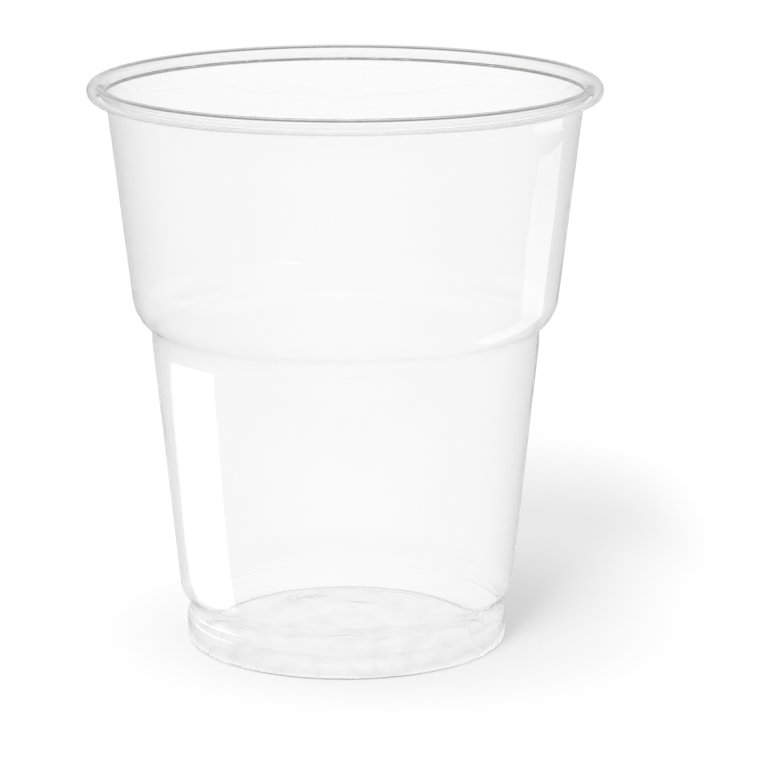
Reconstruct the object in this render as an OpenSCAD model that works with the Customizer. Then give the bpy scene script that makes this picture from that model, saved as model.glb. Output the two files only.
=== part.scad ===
// Clear stepped drinking cup, thermoformed from one sheet of plastic.
// Millimetres, +Z up. The origin is the middle of the face it stands on.
// The section is the outside face of the sheet, walked from the middle of
// the base to the end of the rolled rim. The inside face lies one sheet
// thickness to the left of that walk, so the section is true all the way.

/* [Overall] */
// Height over the rolled rim
cup_h = 106; // [105:0.1:110]
// Diameter over the rolled rim
rim_d = 95; // [94:0.1:98]

/* [Rolled rim] */
// Diameter of the roll over its outside
roll_d = 3.1; // [2.8:0.1:3.4]
// Angle at which the roll ends, measured from straight down
roll_end = 28; // [0:1:35]
// Lean of the short flare between the wall and the roll
flare_a = 17; // [12:1:22]
// Radius of the bend from the wall into the flare
flare_r = 7; // [4:0.5:9]

/* [Upper wall] */
// Outside radius of the upper wall at its top
upper_top_r = 43.73; // [43.5:0.01:43.9]
// Height of that point
upper_top_z = 101; // [99:0.1:101.2]
// Outside radius of the upper wall just over the shoulder
upper_low_r = 39.59; // [39.2:0.01:39.9]
// Height of that point
upper_low_z = 65.6; // [65.3:0.1:68]
// Radius of the rounded shoulder
shoulder_r = 7.3; // [6.8:0.1:7.8]

/* [Neck and lower wall] */
// Outside radius of the neck groove under the shoulder
neck_r = 35.95; // [35.7:0.01:36.1]
// Radius of the soft bend in the neck groove
neck_bend = 3.2; // [2:0.1:3.4]
// Outside radius of the lower wall at its top
lower_top_r = 36.12; // [36.1:0.01:36.6]
// Height of that point
lower_top_z = 57.4; // [56:0.1:57.6]
// Outside radius of the lower wall at its bottom
lower_low_r = 31.34; // [31:0.01:31.7]
// Height of that point
lower_low_z = 11.1; // [10.7:0.1:13]
// Radius of the rounded lower end
heel_r = 3.8; // [3.5:0.1:4.2]

/* [Foot] */
// Outside radius of the foot ring
foot_r = 30.1; // [29.9:0.01:30.4]
// Height of the foot ring
foot_h = 4.8; // [4.4:0.1:5]
// Outside radius of the groove over the foot ring
groove_r = 29.5; // [29.2:0.01:29.6]
// Radius of the rounded edge of the foot
foot_edge = 0.8; // [0.6:0.1:1]
// Inner radius of the flat ring that the cup stands on
rest_r = 27.5; // [27:0.1:28]

/* [Base panel] */
// Height of the underside of the panel at its edge
panel_edge_z = 1.85; // [1.5:0.05:2.2]
// Height of the underside of the panel near its middle
panel_mid_z = 3.2; // [2.8:0.1:4]
// Radius of the round dimple in the middle
dimple_r = 6; // [5:0.1:8]
// Depth of the dimple
dimple_h = 0.3; // [0.2:0.05:0.5]

/* [Sheet thickness] */
// Thickness of the base, which stretches least
t_base = 0.45; // [0.4:0.05:0.5]
// Thickness of the foot and the rounded lower end
t_foot = 0.35; // [0.3:0.05:0.4]
// Thickness of the walls
t_wall = 0.35; // [0.3:0.05:0.4]
// Thickness of the rolled rim, which keeps nearly the whole sheet
t_rim = 0.6; // [0.5:0.05:0.65]

/* [Fill line] */
// Height of the plain fill line on the outside of the wall
line_z = 79.6; // [74:0.1:88]
// Length of the fill line
line_l = 6.4; // [4:0.1:9]
// Direction of its middle, in degrees from +X
line_az = 256.3; // [0:0.1:359.9]

/* [Hidden] */
$fn = 180;

// A bend is drawn with one point for about this many degrees of turn.
bend_step = 6;
// How far the straight slopes under the shoulder and under the lower end
// reach outwards from the neck and from the groove over the foot.
neck_k = 1.4;
heel_k = 0.9;

roll_r = roll_d / 2;
roll_c = [rim_d / 2 - roll_r, cup_h - roll_r];
roll_in = roll_r - t_rim;

function unit(v) = v / norm(v);
function left(v) = [-v[1], v[0]];
function turn(a, b) = atan2(a[0] * b[1] - a[1] * b[0], a[0] * b[0] + a[1] * b[1]);
function lerp(a, b, k) = a + (b - a) * k;

// One stop of the walk: a point of the outside face, the direction to the
// inside face, and the thickness there.
function stop(p, d, t) = [p, left(d), t];

// A rounded corner at c = [r, z, bend radius, thickness].
function bend(a, c, b) =
    let (d1 = unit([c[0], c[1]] - a), d2 = unit(b - [c[0], c[1]]),
         w = turn(d1, d2), l = c[2] * tan(abs(w) / 2),
         n = max(1, ceil(abs(w) / bend_step)), s = w < 0 ? -1 : 1,
         m = [c[0], c[1]] - d1 * l + left(d1) * (s * c[2]))
    [for (i = [0 : n])
        let (q = w * i / n,
             d = [d1[0] * cos(q) - d1[1] * sin(q), d1[0] * sin(q) + d1[1] * cos(q)])
        stop(m - left(d) * (s * c[2]), d, c[3])];

// Where the upper wall, carried on upwards, meets the flare under the roll.
wall_d = unit([upper_top_r - upper_low_r, upper_top_z - upper_low_z]);
flare_d = [sin(flare_a), cos(flare_a)];
flare_p = roll_c + [-cos(flare_a), sin(flare_a)] * roll_in;
flare_k = let (w = [upper_low_r, upper_low_z] - flare_p)
    (w[0] * wall_d[1] - w[1] * wall_d[0]) / (flare_d[0] * wall_d[1] - flare_d[1] * wall_d[0]);
flare_m = flare_p + flare_d * flare_k;

// Where the shoulder arc, carried on downwards, meets the neck.
lean = atan2(wall_d[0], wall_d[1]);
shoulder_c = [upper_low_r - shoulder_r * cos(lean), upper_low_z + shoulder_r * sin(lean)];
shoulder_a = acos((neck_r + neck_k - shoulder_c[0]) / shoulder_r);

// The rounded lower end, drawn the same way.
low_d = unit([lower_top_r - lower_low_r, lower_top_z - lower_low_z]);
low_lean = atan2(low_d[0], low_d[1]);
heel_c = [lower_low_r - heel_r * cos(low_lean), lower_low_z + heel_r * sin(low_lean)];
heel_a = acos((groove_r + heel_k - heel_c[0]) / heel_r);

// A stretch of an arc about c that turns left as it is walked, from angle a
// to angle b, both in degrees from +X.
function arc_left(c, r, a, b, t) =
    let (n = max(2, ceil(abs(b - a) / bend_step)))
    [for (i = [0 : n]) let (q = a + (b - a) * i / n)
        stop(c + r * [cos(q), sin(q)], [-sin(q), cos(q)], t)];

// The same for an arc that turns right as it is walked.
function arc_right(c, r, a, b, t) =
    let (n = max(2, ceil(abs(b - a) / bend_step)))
    [for (i = [0 : n]) let (q = a + (b - a) * i / n)
        stop(c + r * [cos(q), sin(q)], [sin(q), -cos(q)], t)];

heel_start = heel_c + heel_r * [cos(heel_a), -sin(heel_a)];
shoulder_start = shoulder_c + shoulder_r * [cos(shoulder_a), -sin(shoulder_a)];
foot_top = [foot_r, foot_h];
groove_low = [groove_r, foot_h + 0.9];
groove_top = [groove_r, heel_start[1] - heel_k / tan(heel_a)];
neck = [neck_r, shoulder_start[1] - neck_k / tan(shoulder_a)];
low_bottom = [lower_low_r, lower_low_z];
low_top = [lower_top_r, lower_top_z];

// Corners of the base: the dimple's edge, the panel's edge and the foot.
dimple_in = [dimple_r - 1.8, panel_mid_z - dimple_h];
dimple_out = [dimple_r + 1.8, panel_mid_z];
panel_end = [24, panel_edge_z];
foot_in = [rest_r - 0.4, 0];
foot_out = [foot_r, 0];

// The whole walk along the outside face.
walk = concat(
    // base panel: dimple, shallow dome, soft step down to the foot
    [stop([0, dimple_in[1]], [1, 0], t_base)],
    bend([0, dimple_in[1]], concat(dimple_in, [16, t_base]), dimple_out),
    bend(dimple_in, concat(dimple_out, [16, t_base]), panel_end),
    bend(dimple_out, concat(panel_end, [6, t_base]), foot_in),
    bend(panel_end, concat(foot_in, [5, t_foot]), foot_out),
    // flat ring to stand on, foot ring and the groove over it
    bend(foot_in, concat(foot_out, [foot_edge, t_foot]), foot_top),
    bend(foot_out, concat(foot_top, [1.5, t_foot]), groove_low),
    bend(foot_top, concat(groove_low, [1.5, t_foot]), groove_top),
    bend(groove_low, concat(groove_top, [2.5, t_foot]), heel_start),
    // rounded lower end and lower wall
    arc_left(heel_c, heel_r, -heel_a, -low_lean, t_foot),
    bend(low_bottom, concat(low_top, [6, t_wall]), neck),
    // neck groove
    bend(low_top, concat(neck, [neck_bend, t_wall]), shoulder_start),
    // rounded shoulder, upper wall and flare
    arc_left(shoulder_c, shoulder_r, -shoulder_a, -lean, t_wall),
    bend([upper_low_r, upper_low_z], [flare_m[0], flare_m[1], flare_r, t_wall], flare_p),
    // rolled rim
    arc_right(roll_c, roll_in, 180 - flare_a, -90 - roll_end, t_rim)
);

// The sheet's section: the walk out along one face and back along the other.
module section() {
    outside = [for (s = walk) s[0]];
    inside = [for (i = [len(walk) - 1 : -1 : 0]) walk[i][0] + walk[i][1] * walk[i][2]];
    polygon(concat(outside, inside));
}

// A plain raised line on the outside of the upper wall.
module fill_line() {
    r = lerp(upper_low_r, upper_top_r, (line_z - upper_low_z) / (upper_top_z - upper_low_z));
    sweep_a = line_l / r * 180 / PI;
    rotate([0, 0, line_az - sweep_a / 2])
        rotate_extrude(angle = sweep_a)
            polygon([[r - 0.2, line_z - 0.3], [r + 0.1, line_z - 0.3],
                     [r + 0.2, line_z], [r + 0.1, line_z + 0.3], [r - 0.2, line_z + 0.3]]);
}

module cup() {
    color([0.93, 0.95, 0.96, 0.35]) {
        rotate_extrude() section();
        fill_line();
    }
}

cup();
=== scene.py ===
# Looks of the clear stepped cup: one thin sheet of clear plastic, seen on a
# pale floor in soft light. Everything is in metres, in the frame of the part.
import math

import bmesh
import bpy
from mathutils import Matrix, Vector


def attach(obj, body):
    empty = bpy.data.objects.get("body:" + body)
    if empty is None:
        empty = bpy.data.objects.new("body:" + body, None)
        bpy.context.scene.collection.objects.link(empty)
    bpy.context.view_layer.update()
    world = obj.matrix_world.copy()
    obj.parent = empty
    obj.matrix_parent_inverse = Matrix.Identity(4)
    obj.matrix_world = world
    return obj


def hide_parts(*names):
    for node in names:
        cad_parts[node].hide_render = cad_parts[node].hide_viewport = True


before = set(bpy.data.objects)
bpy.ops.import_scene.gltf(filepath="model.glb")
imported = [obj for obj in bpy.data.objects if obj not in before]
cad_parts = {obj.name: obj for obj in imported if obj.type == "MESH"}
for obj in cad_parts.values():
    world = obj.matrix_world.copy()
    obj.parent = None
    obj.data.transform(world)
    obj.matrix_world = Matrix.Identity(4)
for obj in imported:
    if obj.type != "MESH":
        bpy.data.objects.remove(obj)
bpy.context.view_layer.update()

scene = bpy.context.scene
MM = 0.001

# ---------------------------------------------------------------- section
# The same section as the part's source, in millimetres, walked along the
# outside face of the sheet from the middle of the base to the end of the
# rolled rim. Bends are drawn finer here.
cup_h, rim_d = 106.0, 94.95
roll_d, roll_end, flare_a, flare_r = 3.1, 28.0, 17.0, 7.0
upper_top_r, upper_top_z, upper_low_r, upper_low_z, shoulder_r = 43.73, 101.0, 39.59, 65.6, 7.3
neck_r = 35.95
lower_top_r, lower_top_z, lower_low_r, lower_low_z, heel_r = 36.12, 57.4, 31.34, 11.1, 3.8
foot_r, foot_h, groove_r, foot_edge, rest_r = 30.1, 4.8, 29.5, 0.8, 27.5
panel_edge_z, panel_mid_z, dimple_r, dimple_h = 1.85, 3.2, 6.0, 0.3
t_base, t_foot, t_wall, t_rim = 0.45, 0.35, 0.35, 0.6
line_z, line_l, line_az = 79.6, 6.4, 256.3


def unit(v):
    d = math.hypot(v[0], v[1])
    return (v[0] / d, v[1] / d)


def left(v):
    return (-v[1], v[0])


def add(a, b, k=1.0):
    return (a[0] + b[0] * k, a[1] + b[1] * k)


def sub(a, b):
    return (a[0] - b[0], a[1] - b[1])


def turn(a, b):
    return math.degrees(math.atan2(a[0] * b[1] - a[1] * b[0], a[0] * b[0] + a[1] * b[1]))


walk = []  # (point, left normal, thickness, name of the stretch)


def stop(p, d, t, name):
    walk.append((p, left(d), t, name))


def bend(a, c, b, r, t, name, step):
    d1, d2 = unit(sub(c, a)), unit(sub(b, c))
    w = turn(d1, d2)
    s = -1 if w < 0 else 1
    m = add(add(c, d1, -r * math.tan(math.radians(abs(w)) / 2)), left(d1), s * r)
    n = max(1, math.ceil(abs(w) / step))
    for i in range(n + 1):
        q = math.radians(w * i / n)
        d = (
            d1[0] * math.cos(q) - d1[1] * math.sin(q),
            d1[0] * math.sin(q) + d1[1] * math.cos(q),
        )
        stop(add(m, left(d), -s * r), d, t, name)


def arc(c, r, a, b, t, s, name, step):
    n = max(2, math.ceil(abs(b - a) / step))
    for i in range(n + 1):
        q = math.radians(a + (b - a) * i / n)
        stop(
            (c[0] + r * math.cos(q), c[1] + r * math.sin(q)),
            (-math.sin(q) * s, math.cos(q) * s),
            t,
            name,
        )


roll_r = roll_d / 2
roll_c = (rim_d / 2 - roll_r, cup_h - roll_r)
roll_in = roll_r - t_rim
wall_d = unit((upper_top_r - upper_low_r, upper_top_z - upper_low_z))
fa = math.radians(flare_a)
flare_d = (math.sin(fa), math.cos(fa))
flare_p = add(roll_c, (-math.cos(fa), math.sin(fa)), roll_in)
w = sub((upper_low_r, upper_low_z), flare_p)
flare_m = add(
    flare_p,
    flare_d,
    (w[0] * wall_d[1] - w[1] * wall_d[0]) / (flare_d[0] * wall_d[1] - flare_d[1] * wall_d[0]),
)
lean = math.atan2(wall_d[0], wall_d[1])
shoulder_c = (
    upper_low_r - shoulder_r * math.cos(lean),
    upper_low_z + shoulder_r * math.sin(lean),
)
shoulder_a = math.acos((neck_r + 1.4 - shoulder_c[0]) / shoulder_r)
low_d = unit((lower_top_r - lower_low_r, lower_top_z - lower_low_z))
low_lean = math.atan2(low_d[0], low_d[1])
heel_c = (lower_low_r - heel_r * math.cos(low_lean), lower_low_z + heel_r * math.sin(low_lean))
heel_a = math.acos((groove_r + 0.9 - heel_c[0]) / heel_r)
heel_start = add(heel_c, (math.cos(heel_a), -math.sin(heel_a)), heel_r)
shoulder_start = add(shoulder_c, (math.cos(shoulder_a), -math.sin(shoulder_a)), shoulder_r)
foot_top = (foot_r, foot_h)
groove_low = (groove_r, foot_h + 0.9)
groove_top = (groove_r, heel_start[1] - 0.9 / math.tan(heel_a))
neck = (neck_r, shoulder_start[1] - 1.4 / math.tan(shoulder_a))

d0 = (0.0, panel_mid_z - dimple_h)
d1 = (dimple_r - 1.8, d0[1])
d2 = (dimple_r + 1.8, panel_mid_z)
pe = (24.0, panel_edge_z)
rr = (rest_r - 0.4, 0.0)
low0, low1 = (lower_low_r, lower_low_z), (lower_top_r, lower_top_z)
stop(d0, (1.0, 0.0), t_base, "panel")
bend(d0, d1, d2, 16.0, t_base, "panel", 1.5)
bend(d1, d2, pe, 16.0, t_base, "panel", 1.5)
bend(d2, pe, rr, 6.0, t_base, "panel", 3)
bend(pe, rr, (foot_r, 0.0), 5.0, t_foot, "foot", 3)
bend(rr, (foot_r, 0.0), foot_top, foot_edge, t_foot, "foot", 8)
bend((foot_r, 0.0), foot_top, groove_low, 1.5, t_foot, "foot", 6)
bend(foot_top, groove_low, groove_top, 1.5, t_foot, "foot", 6)
bend(groove_low, groove_top, heel_start, 2.5, t_foot, "foot", 5)
arc(heel_c, heel_r, -math.degrees(heel_a), -math.degrees(low_lean), t_foot, 1, "heel", 4)
bend(low0, low1, neck, 6.0, t_wall, "lower", 2)
bend(low1, neck, shoulder_start, 3.2, t_wall, "neck", 4)
arc(shoulder_c, shoulder_r, -math.degrees(shoulder_a), -math.degrees(lean), t_wall, 1, "shoulder", 3)
bend((upper_low_r, upper_low_z), flare_m, flare_p, flare_r, t_wall, "upper", 2)
arc(roll_c, roll_in, 180 - flare_a, -90 - roll_end, t_rim, -1, "roll", 6)


def refine(points):
    """Adds stops along the long straight stretches: a close one at each end, and more between them."""
    out = [points[0]]
    for a, b in zip(points[:-1], points[1:]):
        length = math.hypot(*sub(b[0], a[0]))
        gap = 1.0 if b[3] == "panel" else 2.5
        marks = []
        if length > 1.3 * gap:
            n = math.ceil((length - 0.5) / gap)
            marks = [0.25] + [0.25 + (length - 0.5) * i / n for i in range(1, n)] + [length - 0.25]
        if b[3] == "upper" and length > 20:
            # where the fill line crosses the wall
            k = [(line_z + o - a[0][1]) / (b[0][1] - a[0][1]) * length for o in (-0.5, -0.3, -0.12, 0, 0.12, 0.3, 0.5)]
            marks = sorted([m for m in marks if all(abs(m - q) > 0.3 for q in k)] + k)
        for m in marks:
            f = m / length
            out.append(
                (
                    (a[0][0] + (b[0][0] - a[0][0]) * f, a[0][1] + (b[0][1] - a[0][1]) * f),
                    unit((a[1][0] + (b[1][0] - a[1][0]) * f, a[1][1] + (b[1][1] - a[1][1]) * f)),
                    a[2] + (b[2] - a[2]) * f,
                    b[3],
                )
            )
        if length > 1e-6:
            out.append(b)
    return out


walk = refine(walk)
SEG = 200  # slices around the cup


def smooth(a, b, x):
    k = min(1.0, max(0.0, (x - a) / (b - a)))
    return k * k * (3 - 2 * k)


def hump(x, half):
    """1 at 0, falling smoothly to 0 at +-half."""
    return 0.0 if abs(x) >= half else 0.5 + 0.5 * math.cos(math.pi * x / half)


def relief(name, r, z, az, inner):
    """How far the face stands proud, in millimetres, of the plain turned form."""
    h = 0.0
    if name in ("panel", "foot") and z < 3.9:
        # the base is formed last and unevenly: low soft waves
        c, d = r * math.cos(math.radians(az)), r * math.sin(math.radians(az))
        k = 1.0 if inner else -0.6
        w = math.sin(c / 3.6 + 1.1 + 0.9 * math.sin(d / 5.3)) * math.sin(d / 3.0 - 0.7 + 0.9 * math.sin(c / 4.6 + 2))
        w += 0.6 * math.sin((c + 1.7 * d) / 4.3 + 2.3) + 0.45 * math.sin((1.4 * c - d) / 3.2 - 1.2)
        h += k * 0.05 * w * (1 - smooth(20.0, 25.0, r)) * smooth(0.0, 0.8, z)
        if not inner and r > 28.4:
            # shallow dents along the lower edge of the foot
            q = math.radians(az)
            w = 0.5 + 0.5 * math.sin(11 * q + 1.3 * math.sin(5 * q)) * math.sin(7 * q + 0.6 + math.sin(3 * q))
            h -= 0.13 * w * hump(z - 0.7, 1.3) * smooth(28.4, 29.3, r) * smooth(0.0, 0.15, z)
    if name == "upper" and not inner:
        a = (az - line_az + 180) % 360 - 180
        run = abs(math.radians(a) * r)
        h += 0.2 * hump(z - line_z, 0.34) * (1 - smooth(line_l / 2 - 0.9, line_l / 2 + 0.1, run))
    return h


def lathe(name):
    """The sheet as one closed skin: out along the outside face, over the end of the roll, back along the inside."""
    me = bpy.data.meshes.new(name)
    bm = bmesh.new()
    rows = []
    loop = [(p, n, t, s, False) for p, n, t, s in walk] + [(p, n, t, s, True) for p, n, t, s in reversed(walk)]
    for p, n, t, s, inner in loop:
        base = add(p, n, t) if inner else p
        out = n if inner else (-n[0], -n[1])
        if base[0] < 1e-6:
            rows.append([bm.verts.new((0, 0, base[1] * MM))])
            continue
        row = []
        for j in range(SEG):
            az = 360.0 * j / SEG
            h = relief(s, base[0], base[1], az, inner)
            r, z = base[0] + out[0] * h, base[1] + out[1] * h
            c = math.radians(az)
            row.append(bm.verts.new((r * math.cos(c) * MM, r * math.sin(c) * MM, z * MM)))
        rows.append(row)
    for a, b in zip(rows[:-1], rows[1:]):
        for j in range(SEG):
            k = (j + 1) % SEG
            if len(a) == 1:
                bm.faces.new((a[0], b[k], b[j]))
            elif len(b) == 1:
                bm.faces.new((a[j], a[k], b[0]))
            else:
                bm.faces.new((a[j], a[k], b[k], b[j]))
    bmesh.ops.recalc_face_normals(bm, faces=bm.faces)
    for f in bm.faces:
        f.smooth = True
    # the cut end of the sheet, under the roll, keeps its two edges
    edge = {v for v in rows[len(walk) - 1]} | {v for v in rows[len(walk)]}
    for f in bm.faces:
        if all(v in edge for v in f.verts):
            for e in f.edges:
                other = [g for g in e.link_faces if g is not f]
                if other and not all(v in edge for v in other[0].verts):
                    e.smooth = False
    bm.to_mesh(me)
    bm.free()
    ob = bpy.data.objects.new(name, me)
    scene.collection.objects.link(ob)
    return ob


cup = lathe("cup_sheet")
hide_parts("cup")
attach(cup, "root")


# -------------------------------------------------------------- materials
def nodes_of(owner):
    owner.use_nodes = True
    tree = owner.node_tree
    tree.nodes.clear()
    return tree, tree.nodes, tree.links


LOSS_KEY, LOSS_SKY = 0.55, 0.125  # what the cup takes of a lamp's light that meets it, and of the sky's


def plastic():
    mat = bpy.data.materials.new("clear_plastic")
    tree, n, l = nodes_of(mat)
    out = n.new("ShaderNodeOutputMaterial")
    pb = n.new("ShaderNodeBsdfPrincipled")
    pb.inputs["Base Color"].default_value = (0.985, 0.985, 0.985, 1)
    pb.inputs["Roughness"].default_value = 0.0
    pb.inputs["IOR"].default_value = 1.5
    # the little that is not clear is the sheet's faint haze
    pb.inputs["Transmission Weight"].default_value = 0.965
    # the sheet is never quite even: very low, long ripples
    where = n.new("ShaderNodeTexCoord")
    noise = n.new("ShaderNodeTexNoise")
    noise.inputs["Scale"].default_value = 95
    noise.inputs["Detail"].default_value = 1.0
    bump = n.new("ShaderNodeBump")
    bump.inputs["Strength"].default_value = 0.12
    bump.inputs["Distance"].default_value = 0.0002
    l.new(where.outputs["Object"], noise.inputs["Vector"])
    l.new(noise.outputs[0], bump.inputs["Height"])
    l.new(bump.outputs[0], pb.inputs["Normal"])
    # Rays from the lamps and the floor's sky rays go straight through, less a set share at the first face they meet
    # and 2% at each later face.
    path = n.new("ShaderNodeLightPath")
    either = n.new("ShaderNodeMath")
    either.operation = "MAXIMUM"
    l.new(path.outputs["Is Shadow Ray"], either.inputs[0])
    l.new(path.outputs["Is Diffuse Ray"], either.inputs[1])
    share = n.new("ShaderNodeMix")
    share.data_type = "RGBA"
    l.new(path.outputs["Is Shadow Ray"], share.inputs["Factor"])
    share.inputs["A"].default_value = (1 - LOSS_SKY, 1 - LOSS_SKY, 1 - LOSS_SKY, 1)
    share.inputs["B"].default_value = (1 - LOSS_KEY, 1 - LOSS_KEY, 1 - LOSS_KEY, 1)
    later = n.new("ShaderNodeMath")
    later.operation = "GREATER_THAN"
    l.new(path.outputs["Transparent Depth"], later.inputs[0])
    later.inputs[1].default_value = 0.5
    first = n.new("ShaderNodeMix")
    first.data_type = "RGBA"
    l.new(later.outputs[0], first.inputs["Factor"])
    l.new(share.outputs["Result"], first.inputs["A"])
    first.inputs["B"].default_value = (0.98, 0.98, 0.98, 1)
    clear = n.new("ShaderNodeBsdfTransparent")
    l.new(first.outputs["Result"], clear.inputs["Color"])
    mix = n.new("ShaderNodeMixShader")
    l.new(either.outputs[0], mix.inputs[0])
    l.new(pb.outputs[0], mix.inputs[1])
    l.new(clear.outputs[0], mix.inputs[2])
    l.new(mix.outputs[0], out.inputs["Surface"])
    return mat


cup.data.materials.append(plastic())

# ------------------------------------------------------------------ stage
FLOOR = 1.04  # the floor's brightness where nothing shades it
KEY_FLOOR, TOP_FLOOR = 0.4, 0.22  # what the long lamp and the round one give of that
LIT_FLOOR = FLOOR - KEY_FLOOR - TOP_FLOOR  # and the sky
# How bright the table looks in the mirror of the plastic, by the direction
# from the cup: the cosine from -Y, at 0 for +Y, 0.5 for +-X and 1 for -Y.
TABLE_ROUND = [(0.0, 0.69), (0.3, 0.74), (0.5, 0.84), (0.75, 0.85), (1.0, 0.95)]
TABLE_END = 0.62  # and at the horizon
# The room over it, by the sine of the height: behind the cup, for the
# walls and the rim and for the base inside, and on the camera's side.
ROOM_BACK = [(0.0, 0.62), (0.1, 0.64), (0.25, 0.52), (0.45, 0.34), (0.62, 0.2), (1.0, 0.2)]
ROOM_BACK_IN = [(0.0, 0.66), (0.08, 0.76), (0.13, 0.86), (0.29, 0.84), (0.45, 0.76), (0.62, 0.3), (1.0, 0.22)]
ROOM_FRONT = [(0.0, 0.62), (1.0, 0.62)]


class Maths:
    """Short forms of the maths nodes of one tree. Each takes sockets or numbers, and gives a socket."""

    def __init__(self, tree):
        self.n, self.l = tree.nodes, tree.links

    def put(self, value, socket):
        if isinstance(value, (int, float)):
            socket.default_value = value
        else:
            self.l.new(value, socket)

    def op(self, operation, a, b=None, c=None):
        m = self.n.new("ShaderNodeMath")
        m.operation = operation
        for value, socket in zip((a, b, c), m.inputs):
            if value is not None:
                self.put(value, socket)
        return m.outputs[0]

    def rise(self, value, lo, hi, a=0.0, b=1.0):
        """a up to lo, b from hi, and smooth between them."""
        m = self.n.new("ShaderNodeMapRange")
        m.interpolation_type = "SMOOTHSTEP"
        for v, name in ((lo, "From Min"), (hi, "From Max"), (a, "To Min"), (b, "To Max"), (value, "Value")):
            self.put(v, m.inputs[name])
        return m.outputs["Result"]

    def curve(self, value, points):
        """A smooth curve through points, whose x runs from 0 to 1."""
        c = self.n.new("ShaderNodeFloatCurve")
        pts = c.mapping.curves[0].points
        while len(pts) < len(points):
            pts.new(0.5, 0.5)
        for p, at in zip(pts, points):
            p.location = at
            p.handle_type = "AUTO_CLAMPED"
        c.mapping.update()
        self.put(self.op("MINIMUM", self.op("MAXIMUM", value, 0.0), 1.0), c.inputs["Value"])
        return c.outputs[0]

    def blend(self, factor, a, b):
        m = self.n.new("ShaderNodeMix")
        m.data_type = "FLOAT"
        self.put(factor, m.inputs["Factor"])
        self.put(a, m.inputs["A"])
        self.put(b, m.inputs["B"])
        return m.outputs["Result"]

    def path(self, name):
        p = self.n.new("ShaderNodeLightPath")
        return p.outputs[name]

    def mirrored(self):
        """1 for a ray that has been mirrored on its way here."""
        return self.op("GREATER_THAN", self.path("Glossy Depth"), 0.5)

    def through(self):
        """1 for a ray that has come through the plastic."""
        return self.op("GREATER_THAN", self.path("Transmission Depth"), 0.5)


def panel_left(m, x, y):
    """The light panel that shows as the white strip on the lower wall: 1 inside its outline on the table."""
    top = m.curve(m.op("DIVIDE", m.op("ADD", x, 200), 200), [
        (0.0, 0.96), (0.205, 0.89), (0.34, 0.79), (0.447, 0.635), (0.554, 0.48), (0.6, 0.4),
        (0.65, 0.31), (0.693, 0.21), (0.733, 0.1), (0.755, 0.0)])
    top = m.op("MULTIPLY", top, 100)
    low = m.op("MULTIPLY_ADD", m.op("POWER", m.op("ADD", x, 50), 2), -0.0006, -26.5)
    far = m.op("MULTIPLY_ADD", m.op("POWER", m.op("ADD", y, -28), 2), 0.0027, -181.5)
    soft = m.op("MULTIPLY", x, -0.13)
    k = m.rise(m.op("DIVIDE", m.op("SUBTRACT", top, y), soft), -1, 1)
    k = m.op("MULTIPLY", k, m.rise(m.op("SUBTRACT", y, low), -0.7, 0.7))
    k = m.op("MULTIPLY", k, m.rise(m.op("SUBTRACT", x, far), -1.5, 1.5))
    return m.op("MULTIPLY", k, m.rise(x, -46, -42, 1, 0))


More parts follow.
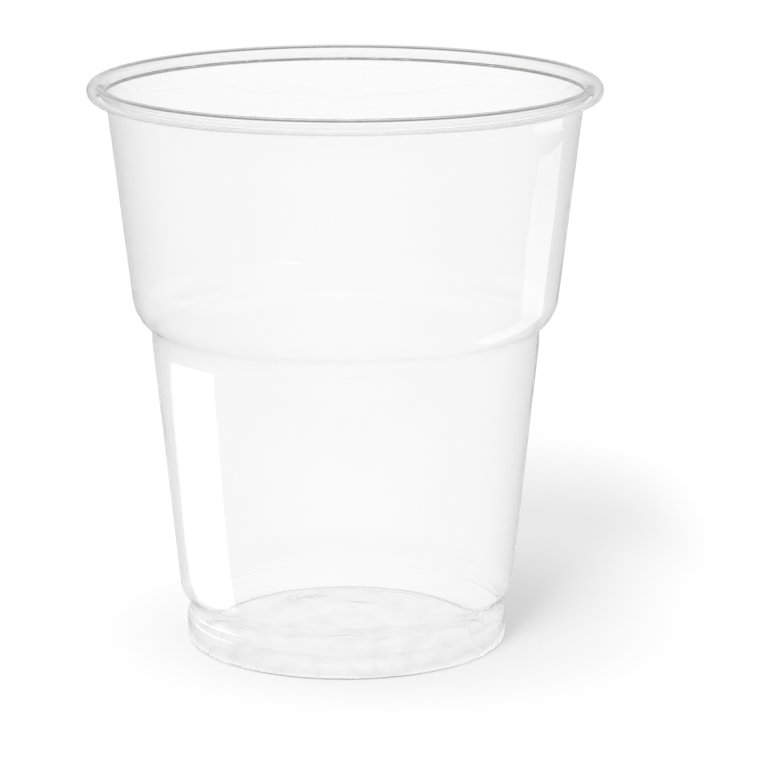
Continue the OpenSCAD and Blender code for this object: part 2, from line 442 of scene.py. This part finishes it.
def make_floor():
    me = bpy.data.meshes.new("floor")
    bm = bmesh.new()
    ring = [bm.verts.new((8 * math.cos(a), 8 * math.sin(a), 0)) for a in [math.tau * i / 96 for i in range(96)]]
    bm.faces.new(ring)
    bm.to_mesh(me)
    bm.free()
    ob = bpy.data.objects.new("floor", me)
    scene.collection.objects.link(ob)
    mat = bpy.data.materials.new("floor")
    tree, n, l = nodes_of(mat)
    m = Maths(tree)
    out = n.new("ShaderNodeOutputMaterial")
    dif = n.new("ShaderNodeBsdfDiffuse")
    dif.inputs["Color"].default_value = (0.8, 0.8, 0.8, 1)
    # through the plastic the floor shows without the shadow on it
    glow = n.new("ShaderNodeEmission")
    seen = n.new("ShaderNodeMixShader")
    l.new(m.through(), seen.inputs[0])
    l.new(dif.outputs[0], seen.inputs[1])
    l.new(glow.outputs[0], seen.inputs[2])
    where = n.new("ShaderNodeNewGeometry")
    xyz = n.new("ShaderNodeSeparateXYZ")
    l.new(where.outputs["Position"], xyz.inputs[0])
    x, y = m.op("MULTIPLY", xyz.outputs["X"], 1000), m.op("MULTIPLY", xyz.outputs["Y"], 1000)
    r = m.op("SQRT", m.op("ADD", m.op("POWER", x, 2), m.op("POWER", y, 2)))
    # painted shade: right under the base the floor's glow is a little darker, in soft noise blotches that stand in for
    # the shade the uneven sheet throws on it
    spot = n.new("ShaderNodeCombineXYZ")
    l.new(m.op("MULTIPLY", x, 0.23), spot.inputs["X"])
    l.new(m.op("MULTIPLY", y, 0.09), spot.inputs["Y"])
    noise = n.new("ShaderNodeTexNoise")
    noise.inputs["Scale"].default_value = 1.0
    noise.inputs["Detail"].default_value = 3.0
    l.new(spot.outputs[0], noise.inputs["Vector"])
    shade_blotch = m.rise(noise.outputs[0], 0.45, 0.68)
    under = m.rise(r, 28.5, 31.5, 1, 0)
    painted_shade = m.op("MULTIPLY", under, m.op("MULTIPLY", shade_blotch, 0.1))
    l.new(m.op("SUBTRACT", 1.0, painted_shade), glow.inputs["Strength"])
    # in the mirror the floor shows a set glow instead of its lit face: a painted reflection
    side = m.op("MULTIPLY_ADD", m.op("DIVIDE", y, m.op("MAXIMUM", r, 1)), -0.5, 0.5)
    value = m.blend(m.rise(r, 250, 900), m.curve(side, TABLE_ROUND), TABLE_END)
    # painted reflection: a slightly brighter patch of table at the left back, near the cup
    near_back = m.op("MULTIPLY", m.rise(side, 0.3, 0.5, 1, 0), m.rise(r, 170, 280, 1, 0))
    value = m.op("ADD", value, m.op("MULTIPLY", near_back, m.rise(x, -40, 40, 0.09, 0.0)))
    # painted shade in the mirror: the table shows darker in a ring just round the foot, and brighter again right under
    # it
    value = m.blend(m.rise(r, 31, 44), 0.55, value)
    value = m.blend(m.rise(r, 31, 34), 0.9, value)
    near = m.op("LESS_THAN", m.path("Transmission Depth"), 0.5)
    value = m.op("ADD", value, m.op("MULTIPLY", m.op("MULTIPLY", panel_left(m, x, y), near), 2.4))
    table = n.new("ShaderNodeEmission")
    l.new(value, table.inputs["Strength"])
    mix = n.new("ShaderNodeMixShader")
    l.new(m.mirrored(), mix.inputs[0])
    l.new(seen.outputs[0], mix.inputs[1])
    l.new(table.outputs[0], mix.inputs[2])
    l.new(mix.outputs[0], out.inputs["Surface"])
    mat.cycles.emission_sampling = "NONE"
    me.materials.append(mat)
    return ob


floor = make_floor()


def ring_part(bm, z, inner, outer, start, end):
    """A flat part of a ring, in millimetres and degrees. The outer radius may change with the angle."""
    rows = [[], []]
    for a in range(start, end + 1, 2):
        c = math.radians(a)
        for row, r in zip(rows, (inner, outer(a))):
            row.append(bm.verts.new((r * MM * math.cos(c), r * MM * math.sin(c), z * MM)))
    for i in range(len(rows[0]) - 1):
        bm.faces.new((rows[0][i], rows[1][i], rows[1][i + 1], rows[0][i + 1]))


def mirror_only(name, bm, strength, side, fade=None):
    """A card of the studio that shows only in the mirror of the plastic's outside: from both sides, or from above or below. fade is where it starts and ends to fade, along X in millimetres, and what it fades to."""
    me = bpy.data.meshes.new(name)
    bm.to_mesh(me)
    bm.free()
    ob = bpy.data.objects.new(name, me)
    scene.collection.objects.link(ob)
    mat = bpy.data.materials.new(name)
    tree, n, l = nodes_of(mat)
    m = Maths(tree)
    out = n.new("ShaderNodeOutputMaterial")
    em = n.new("ShaderNodeEmission")
    em.inputs["Strength"].default_value = strength
    if fade:
        place = n.new("ShaderNodeNewGeometry")
        xyz = n.new("ShaderNodeSeparateXYZ")
        l.new(place.outputs["Position"], xyz.inputs[0])
        x = m.op("MULTIPLY", xyz.outputs["X"], 1000)
        l.new(m.rise(x, fade[0], fade[1], strength, fade[2]), em.inputs["Strength"])
    clear = n.new("ShaderNodeBsdfTransparent")
    mix = n.new("ShaderNodeMixShader")
    seen = m.op("MULTIPLY", m.mirrored(), m.op("LESS_THAN", m.path("Transmission Depth"), 0.5))
    if side != "both":
        face = n.new("ShaderNodeNewGeometry")
        back = face.outputs["Backfacing"]
        seen = m.op("MULTIPLY", seen, back if side == "below" else m.op("SUBTRACT", 1.0, back))
    l.new(seen, mix.inputs[0])
    l.new(clear.outputs[0], mix.inputs[1])
    l.new(em.outputs[0], mix.inputs[2])
    l.new(mix.outputs[0], out.inputs["Surface"])
    mat.cycles.emission_sampling = "NONE"
    me.materials.append(mat)
    ob.visible_camera = False
    ob.visible_diffuse = False
    ob.visible_shadow = False
    return ob


under_shoulder = neck[1] - 1.6
# flags that keep the left panel off the shoulder and off the underside of the rim
bm = bmesh.new()
ring_part(bm, under_shoulder, neck_r - 0.1, lambda a: 62.0 - 22.0 * smooth(234, 250, a), 130, 250)
ring_part(bm, upper_top_z + 0.7, upper_top_r + 0.9, lambda a: 90.0, 130, 264)
flags = mirror_only("flags", bm, 0.6, "both")
# and one that keeps the right panel off the flare under the rim
bm = bmesh.new()
ring_part(bm, upper_top_z + 0.7, upper_top_r + 0.9, lambda a: 90.0, 276, 350)
flag_right = mirror_only("flag_right", bm, 0.84, "both")
# a small lamp over the fill line
bm = bmesh.new()
ring_part(bm, line_z + 4.4, upper_top_r - 0.6, lambda a: 58.0, 234, 262)
glint = mirror_only("glint", bm, 2.8, "below")
# the dimmer panel on the right: the faint strip on the upper wall, which runs on into the shoulder
bm = bmesh.new()
back_edge = [(150, 92), (126.7, 70), (113.3, 60), (87.9, 34), (64.4, 11.6), (50, -2), (43, -11), (38.5, -17), (34.5, -21.5), (29.5, -26)]
front_edge = [(150, 22), (134, 15), (121, 6), (93.8, -3.5), (68.4, -10.7), (52, -16), (44.5, -20.5), (39.5, -25), (33.5, -29), (27.5, -31)]
pairs = [
    [bm.verts.new((x * MM, y * MM, under_shoulder * MM)) for x, y in pair] for pair in zip(front_edge, back_edge)
]
for a, b in zip(pairs[:-1], pairs[1:]):
    bm.faces.new((a[0], a[1], b[1], b[0]))
bmesh.ops.recalc_face_normals(bm, faces=bm.faces)
for f in bm.faces:
    if f.normal.z < 0:
        f.normal_flip()
right = mirror_only("panel_right", bm, 1.55, "above", (85, 140, 1.3))

world = bpy.data.worlds.new("studio")
scene.world = world
tree, n, l = nodes_of(world)
m = Maths(tree)
out = n.new("ShaderNodeOutputWorld")
bg = n.new("ShaderNodeBackground")
seen = m.op("MAXIMUM", m.path("Is Camera Ray"), m.path("Is Transmission Ray"))
base = m.blend(seen, LIT_FLOOR / 0.8, 1.02)
way = n.new("ShaderNodeTexCoord")
xyz = n.new("ShaderNodeSeparateXYZ")
l.new(way.outputs["Generated"], xyz.inputs[0])
# what the base mirrors has come in through the front wall and goes out through the back one
inside = m.op("GREATER_THAN", m.path("Transmission Depth"), 3.5)
behind = m.blend(inside, m.curve(xyz.outputs["Z"], ROOM_BACK), m.curve(xyz.outputs["Z"], ROOM_BACK_IN))
room = m.blend(m.rise(xyz.outputs["Y"], 0.1, 0.4), m.curve(xyz.outputs["Z"], ROOM_FRONT), behind)
value = m.blend(m.mirrored(), base, room)
l.new(value, bg.inputs["Strength"])
l.new(bg.outputs[0], out.inputs["Surface"])
bg.inputs["Color"].default_value = (1, 1, 1, 1)
# the even sky needs no sampling of its own, so that shadow rays are the key's
world.cycles.sampling_method = "NONE"


def lamp(name, way, angle, share):
    """A large soft light, by the way that its light goes, its size in degrees and what it gives the floor."""
    la = bpy.data.lights.new(name, "SUN")
    la.angle = math.radians(angle)
    way = Vector(way).normalized()
    la.energy = share / 0.8 * math.pi / -way.z
    ob = bpy.data.objects.new(name, la)
    scene.collection.objects.link(ob)
    ob.rotation_mode = "QUATERNION"
    ob.rotation_quaternion = way.to_track_quat("-Z", "Y")
    ob.location = -way * 2
    ob.visible_glossy = False
    ob.visible_transmission = False
    ob.visible_camera = False
    return ob


# the key is long and narrow: a row of six
for i in range(6):
    k = (2 * i - 5) / 6
    lamp("key_" + str(i), (25.8 - 1.5 * k, 88.3 + 43 * k, -106), 9, KEY_FLOOR / 6)
lamp("top", (10, 5.6, -106), 22, TOP_FLOOR)


# ----------------------------------------------------------------- camera
cam = bpy.data.cameras.new("camera")
cam.sensor_width = 36
cam.sensor_fit = "HORIZONTAL"
cam.lens = 174.88
cam.clip_start, cam.clip_end = 0.01, 100
cam_ob = bpy.data.objects.new("camera", cam)
scene.collection.objects.link(cam_ob)
cam_ob.location = (0.007104, -0.680, 0.20798)
cam_ob.rotation_euler = (math.radians(90 - 13.198), 0, 0)
scene.camera = cam_ob

scene.view_settings.view_transform = "Standard"
scene.view_settings.look = "None"
c = scene.cycles
c.max_bounces = 28
c.transmission_bounces = 28
c.glossy_bounces = 16
c.diffuse_bounces = 2
c.transparent_max_bounces = 32
c.caustics_reflective = False
c.caustics_refractive = True
c.blur_glossy = 0.0
c.sample_clamp_indirect = 0.0
c.use_denoising = True
c.denoiser = "OPENIMAGEDENOISE"

print("triangles", sum(len(p.vertices) - 2 for p in cup.data.polygons), "walk", len(walk))
